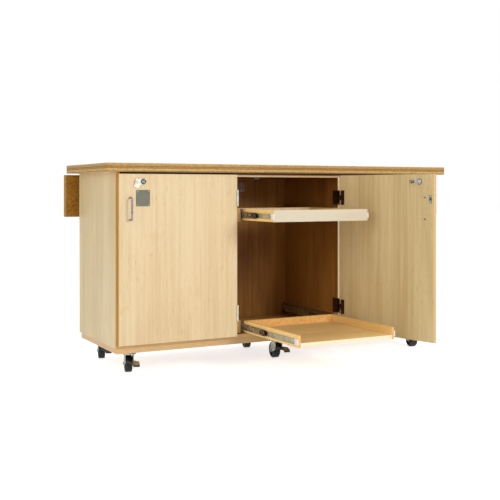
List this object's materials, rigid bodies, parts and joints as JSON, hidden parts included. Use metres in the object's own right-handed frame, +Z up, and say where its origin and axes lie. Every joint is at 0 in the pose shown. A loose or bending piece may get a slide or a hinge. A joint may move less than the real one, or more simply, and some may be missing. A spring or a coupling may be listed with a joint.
{
  "type": "mobile workbench",
  "caption": "Mobile plywood workbench on braked swivel casters, with three bays, hinged lockable doors, pull-out trays and a drop leaf behind the worktop.",
  "frame": {"origin": "on the floor, below the middle of the bounding box at rest (left door shut, middle door at 103 degrees, trays drawn as pictured, leaf hanging)", "axes": "+X along the worktop's length to the right as seen from the doors, +Y from the doors to the back, +Z up"},
  "size_m": [1.8288, 1.1974, 0.9296],
  "materials": {
    "worktop_maple": "clear satin lacquer",
    "maple_ply": "clear satin lacquer",
    "base_ply": "clear satin lacquer",
    "cream_ply": "clear satin lacquer",
    "tray_maple": "clear satin lacquer",
    "leaf_brown": "smooth hardboard",
    "zinc_steel": "zinc plated",
    "hinge_steel": "satin nickel",
    "nickel": "polished nickel",
    "black_lock": "gloss black",
    "label_grey": "matt olive grey, bare",
    "wheel_rubber": "matt",
    "black_pedal": "moulded"
  },
  "bodies": {
    "workbench": {"worktop": "worktop_maple", "left_side_panel": "maple_ply", "right_side_panel": "maple_ply", "left_divider": "maple_ply", "right_divider": "maple_ply", "top_panel": "maple_ply", "bottom_panel": "maple_ply", "back_panel": "maple_ply", "base_slab": "base_ply", "left_bay_shelf": "maple_ply", "right_bay_shelf": "maple_ply", "shelf_cleats": "base_ply", "slide_spacers": "base_ply", "slide_cabinet_members": "zinc_steel", "door_hinge_frame_leaves": "hinge_steel", "door_catches_and_keepers": "zinc_steel", "leaf_hinge_fixed_halves": "hinge_steel", "caster_plates": "zinc_steel"},
    "left_door": {"left_door_panel": "maple_ply", "left_door_pull": "nickel", "left_door_hinge_leaves": "hinge_steel", "label_plate": "label_grey", "left_door_lock_body": "black_lock", "left_door_strike": "hinge_steel"},
    "left_door_lock": {"left_door_lock_rotor": "nickel"},
    "middle_door": {"middle_door_panel": "maple_ply", "middle_door_pull": "nickel", "middle_door_hinge_leaves": "hinge_steel", "middle_door_lock_body": "black_lock", "middle_door_strike": "hinge_steel"},
    "middle_door_lock": {"middle_door_lock_rotor": "nickel"},
    "upper_tray": {"upper_tray_bottom": "tray_maple", "upper_tray_front": "cream_ply", "upper_tray_sides": "tray_maple", "upper_tray_slide_members": "zinc_steel"},
    "upper_middle_members": {"upper_slide_middle_members": "zinc_steel"},
    "lower_tray": {"lower_tray_deck": "tray_maple", "lower_tray_sides": "tray_maple", "lower_tray_slide_members": "zinc_steel"},
    "lower_middle_members": {"lower_slide_middle_members": "zinc_steel"},
    "drop_leaf": {"drop_leaf": "leaf_brown", "leaf_hinge_moving_halves": "hinge_steel"},
    "front_left_caster": {"front_left_fork": "zinc_steel"},
    "front_left_wheel": {"front_left_wheel": "wheel_rubber"},
    "front_left_brake": {"front_left_brake_pedal": "black_pedal"},
    "front_middle_caster": {"front_middle_fork": "zinc_steel"},
    "front_middle_wheel": {"front_middle_wheel": "wheel_rubber"},
    "front_middle_brake": {"front_middle_brake_pedal": "black_pedal"},
    "front_right_caster": {"front_right_fork": "zinc_steel"},
    "front_right_wheel": {"front_right_wheel": "wheel_rubber"},
    "front_right_brake": {"front_right_brake_pedal": "black_pedal"},
    "rear_left_caster": {"rear_left_fork": "zinc_steel"},
    "rear_left_wheel": {"rear_left_wheel": "wheel_rubber"},
    "rear_left_brake": {"rear_left_brake_pedal": "black_pedal"},
    "rear_middle_caster": {"rear_middle_fork": "zinc_steel"},
    "rear_middle_wheel": {"rear_middle_wheel": "wheel_rubber"},
    "rear_middle_brake": {"rear_middle_brake_pedal": "black_pedal"},
    "rear_right_caster": {"rear_right_fork": "zinc_steel"},
    "rear_right_wheel": {"rear_right_wheel": "wheel_rubber"},
    "rear_right_brake": {"rear_right_brake_pedal": "black_pedal"}
  },
  "joints": [
    {"name": "left_door_hinge", "type": "hinge", "parent": "workbench", "child": "left_door", "pos_m": [-0.28573, -0.03815, 0.49], "axis": [0, 0, 1], "range_deg": [0, 90]},
    {"name": "middle_door_hinge", "type": "hinge", "parent": "workbench", "child": "middle_door", "pos_m": [0.28573, -0.03815, 0.49], "axis": [0, 0, 1], "range_deg": [-14, 70]},
    {"name": "left_lock_turn", "type": "hinge", "parent": "left_door", "child": "left_door_lock", "pos_m": [-0.7466, -0.03385, 0.8492], "axis": [0, -1, 0], "range_deg": [0, 90]},
    {"name": "middle_lock_turn", "type": "hinge", "parent": "middle_door", "child": "middle_door_lock", "pos_m": [0.38522, -0.48817, 0.8492], "axis": [0.9744, 0.225, 0], "range_deg": [0, 90]},
    {"name": "upper_tray_slide", "type": "slide", "parent": "workbench", "child": "upper_tray", "axis": [0, -1, 0], "range_m": [-0.299, 0.209]},
    {"name": "upper_middle_members_slide", "type": "slide", "parent": "workbench", "child": "upper_middle_members", "axis": [0, -1, 0], "range_m": [-0.1495, 0.1045]},
    {"name": "lower_tray_slide", "type": "slide", "parent": "workbench", "child": "lower_tray", "axis": [0, -1, 0], "range_m": [-0.5, 0.008]},
    {"name": "lower_middle_members_slide", "type": "slide", "parent": "workbench", "child": "lower_middle_members", "axis": [0, -1, 0], "range_m": [-0.25, 0.004]},
    {"name": "drop_leaf_hinge", "type": "hinge", "parent": "workbench", "child": "drop_leaf", "pos_m": [0, 0.55735, 0.8883], "axis": [1, 0, 0], "range_deg": [0, 90]},
    {"name": "front_left_swivel", "type": "hinge", "parent": "workbench", "child": "front_left_caster", "pos_m": [-0.7716, 0.07235, 0.1016], "axis": [0, 0, 1], "continuous": true},
    {"name": "front_left_axle", "type": "hinge", "parent": "front_left_caster", "child": "front_left_wheel", "pos_m": [-0.76386, 0.1034, 0.0381], "axis": [-0.9703, 0.2419, 0], "continuous": true},
    {"name": "front_left_brake_press", "type": "hinge", "parent": "front_left_caster", "child": "front_left_brake", "pos_m": [-0.77492, 0.05903, 0.05704], "axis": [0.9703, -0.2419, 0], "range_deg": [0, 8]},
    {"name": "front_middle_swivel", "type": "hinge", "parent": "workbench", "child": "front_middle_caster", "pos_m": [-0.017, 0.07235, 0.1016], "axis": [0, 0, 1], "continuous": true},
    {"name": "front_middle_axle", "type": "hinge", "parent": "front_middle_caster", "child": "front_middle_wheel", "pos_m": [-0.01366, 0.10418, 0.0381], "axis": [-0.9945, 0.1045, 0], "continuous": true},
    {"name": "front_middle_brake_press", "type": "hinge", "parent": "front_middle_caster", "child": "front_middle_brake", "pos_m": [-0.01844, 0.05869, 0.05704], "axis": [0.9945, -0.1045, 0], "range_deg": [0, 8]},
    {"name": "front_right_swivel", "type": "hinge", "parent": "workbench", "child": "front_right_caster", "pos_m": [0.7716, 0.07235, 0.1016], "axis": [0, 0, 1], "continuous": true},
    {"name": "front_right_axle", "type": "hinge", "parent": "front_right_caster", "child": "front_right_wheel", "pos_m": [0.76659, 0.04075, 0.0381], "axis": [0.9877, -0.1564, 0], "continuous": true},
    {"name": "front_right_brake_press", "type": "hinge", "parent": "front_right_caster", "child": "front_right_brake", "pos_m": [0.77375, 0.08591, 0.05704], "axis": [-0.9877, 0.1564, 0], "range_deg": [0, 8]},
    {"name": "rear_left_swivel", "type": "hinge", "parent": "workbench", "child": "rear_left_caster", "pos_m": [-0.7716, 0.44505, 0.1016], "axis": [0, 0, 1], "continuous": true},
    {"name": "rear_left_axle", "type": "hinge", "parent": "rear_left_caster", "child": "rear_left_wheel", "pos_m": [-0.76386, 0.4761, 0.0381], "axis": [-0.9703, 0.2419, 0], "continuous": true},
    {"name": "rear_left_brake_press", "type": "hinge", "parent": "rear_left_caster", "child": "rear_left_brake", "pos_m": [-0.77492, 0.43173, 0.05704], "axis": [0.9703, -0.2419, 0], "range_deg": [0, 8]},
    {"name": "rear_middle_swivel", "type": "hinge", "parent": "workbench", "child": "rear_middle_caster", "pos_m": [0, 0.44505, 0.1016], "axis": [0, 0, 1], "continuous": true},
    {"name": "rear_middle_axle", "type": "hinge", "parent": "rear_middle_caster", "child": "rear_middle_wheel", "pos_m": [-0.00665, 0.41375, 0.0381], "axis": [0.9781, -0.2079, 0], "continuous": true},
    {"name": "rear_middle_brake_press", "type": "hinge", "parent": "rear_middle_caster", "child": "rear_middle_brake", "pos_m": [0.00286, 0.45848, 0.05704], "axis": [-0.9781, 0.2079, 0], "range_deg": [0, 8]},
    {"name": "rear_right_swivel", "type": "hinge", "parent": "workbench", "child": "rear_right_caster", "pos_m": [0.7716, 0.44505, 0.1016], "axis": [0, 0, 1], "continuous": true},
    {"name": "rear_right_axle", "type": "hinge", "parent": "rear_right_caster", "child": "rear_right_wheel", "pos_m": [0.77494, 0.47688, 0.0381], "axis": [-0.9945, 0.1045, 0], "continuous": true},
    {"name": "rear_right_brake_press", "type": "hinge", "parent": "rear_right_caster", "child": "rear_right_brake", "pos_m": [0.77016, 0.43139, 0.05704], "axis": [0.9945, -0.1045, 0], "range_deg": [0, 8]}
  ],
  "couplings": [
    {"joint": "upper_middle_members_slide", "follows": "upper_tray_slide", "ratio": 0.5},
    {"joint": "lower_middle_members_slide", "follows": "lower_tray_slide", "ratio": 0.5}
  ]
}
